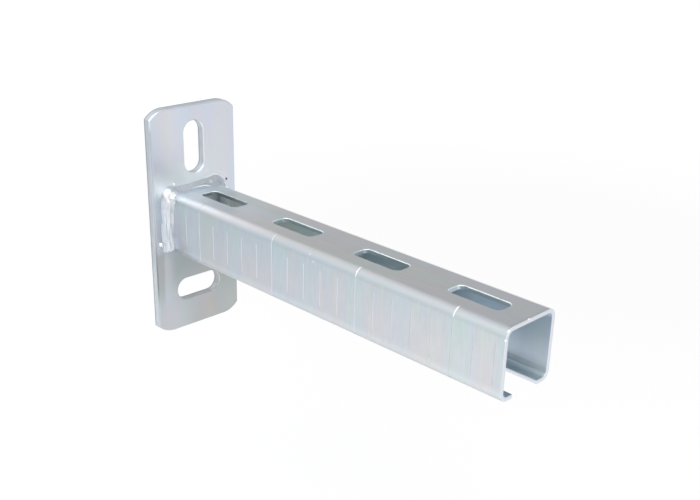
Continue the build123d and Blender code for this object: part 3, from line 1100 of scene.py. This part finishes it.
def floor_material():
    """Pale floor whose glow keeps it white far off, and which a camera under it looks through."""
    material, tree, shader, position, _ = new_material("pale floor", metallic=0.0)
    rays = add(tree, "LightPath").outputs
    distance = vector_maths(tree, "LENGTH", position, result="Value")
    seen = largest(tree, rays["Is Camera Ray"], rays["Is Transmission Ray"])
    direct = product(tree, seen, fade(tree, distance, *SEEN_GLOW))
    mirrored = product(tree, rays["Is Glossy Ray"], fade(tree, distance, *MIRRORED_GLOW))
    glow = {"Emission Color": WHITE, "Emission Strength": total(tree, direct, mirrored)}
    surface = {"Base Color": FLOOR_GREY, "Roughness": 0.9, "Specular IOR Level": 0.0, **glow}
    for label, value in surface.items():
        feed(tree, shader.inputs[label], value)

    clear = add(tree, "BsdfTransparent")
    backfacing = add(tree, "NewGeometry").outputs["Backfacing"]
    either = add(tree, "MixShader", Fac=product(tree, backfacing, rays["Is Camera Ray"]))
    feed(tree, either.inputs[1], shader.outputs[0])
    feed(tree, either.inputs[2], clear.outputs[0])
    feed(tree, tree.nodes["Material Output"].inputs["Surface"], either.outputs[0])
    return material


def lay_floor():
    """A plain pale floor, well below the arm, which hangs on a wall and touches nothing else."""
    signs = [(-1, -1), (1, -1), (1, 1), (-1, 1)]
    mesh = bpy.data.meshes.new("studio_floor")
    mesh.from_pydata([(a * FLOOR_REACH, b * FLOOR_REACH, FLOOR_Z) for a, b in signs], [], [(0, 1, 2, 3)])
    mesh.materials.append(floor_material())
    floor = linked("studio_floor", mesh)


def light_sky():
    """An even room: white where it is seen by the camera, and a soft grey ceiling in reflections."""
    world = bpy.data.worlds.new("studio")
    bpy.context.scene.world = world
    world.use_nodes = True
    tree = world.node_tree
    background = tree.nodes["Background"]
    feed(tree, background.inputs["Color"], WHITE)
    rays = add(tree, "LightPath").outputs
    height = parts_of(tree, add(tree, "TexCoord").outputs["Generated"])[2]
    direct = largest(tree, rays["Is Camera Ray"], rays["Is Transmission Ray"])
    reflected = product(tree, rays["Is Glossy Ray"], fade(tree, height, 0.0, CEILING_HEIGHT, 1.0, CEILING))
    lighting = product(tree, opposite(tree, rays["Is Glossy Ray"]), ROOM_LIGHT)
    level = largest(tree, direct, total(tree, reflected, lighting))
    feed(tree, background.inputs["Strength"], level)


def hang_lamp(name, direction, distance, width, height, brightness):
    """A soft area lamp that looks at the arm from a direction; brightness is that of its face."""
    light = bpy.data.lights.new(name, "AREA")
    light.shape = "RECTANGLE"
    light.size = width
    light.size_y = height
    light.energy = brightness * math.pi * width * height
    azimuth, elevation = (math.radians(angle) for angle in direction)
    level = math.cos(elevation)
    aim = np.array([math.cos(azimuth) * level, math.sin(azimuth) * level, math.sin(elevation)])
    lamp = linked(name, light)
    lamp.location = LAMP_TARGET + distance * aim
    lamp.rotation_euler = (math.pi / 2 - elevation, 0, azimuth + math.pi / 2)


CAMERA_PLACE = (0.384306, -0.279924, 0.166341)
CAMERA_AZIMUTH = math.radians(42.664)
CAMERA_ELEVATION = math.radians(23.673)
CAMERA_ROLL = math.radians(2.272)
FOCAL_PIXELS = 1021.982
CROP_SHIFT = (30.877, 45.238)  # pixels that the lens axis lies right of and below the photo's middle
PHOTO_WIDTH = 700
SENSOR_WIDTH = 36.0


def set_camera():
    """The photo's camera: a plain pinhole, with the frame shifted as by a crop."""
    a, e, r = CAMERA_AZIMUTH, CAMERA_ELEVATION, CAMERA_ROLL
    back = np.array([math.sin(a) * math.cos(e), -math.cos(a) * math.cos(e), math.sin(e)])
    level = np.array([math.cos(a), math.sin(a), 0])
    upright = np.cross(back, level)
    right = math.cos(r) * level + math.sin(r) * upright
    up = math.cos(r) * upright - math.sin(r) * level
    data = bpy.data.cameras.new("photo_camera")
    data.sensor_width = SENSOR_WIDTH
    data.sensor_fit = "HORIZONTAL"
    data.lens = SENSOR_WIDTH * FOCAL_PIXELS / PHOTO_WIDTH
    data.shift_x = -CROP_SHIFT[0] / PHOTO_WIDTH
    data.shift_y = CROP_SHIFT[1] / PHOTO_WIDTH
    data.clip_start = 0.01
    camera = linked("photo_camera", data)
    matrix = np.eye(4)
    matrix[:3] = np.stack([right, up, back, CAMERA_PLACE], axis=1)
    camera.matrix_world = matrix.T
    bpy.context.scene.camera = camera


lay_floor()
light_sky()
for lamp in LAMPS:
    hang_lamp(*lamp)
set_camera()
bpy.context.scene.cycles.max_bounces = 16
bpy.context.scene.cycles.glossy_bounces = 12
bpy.context.scene.view_settings.view_transform = "Standard"
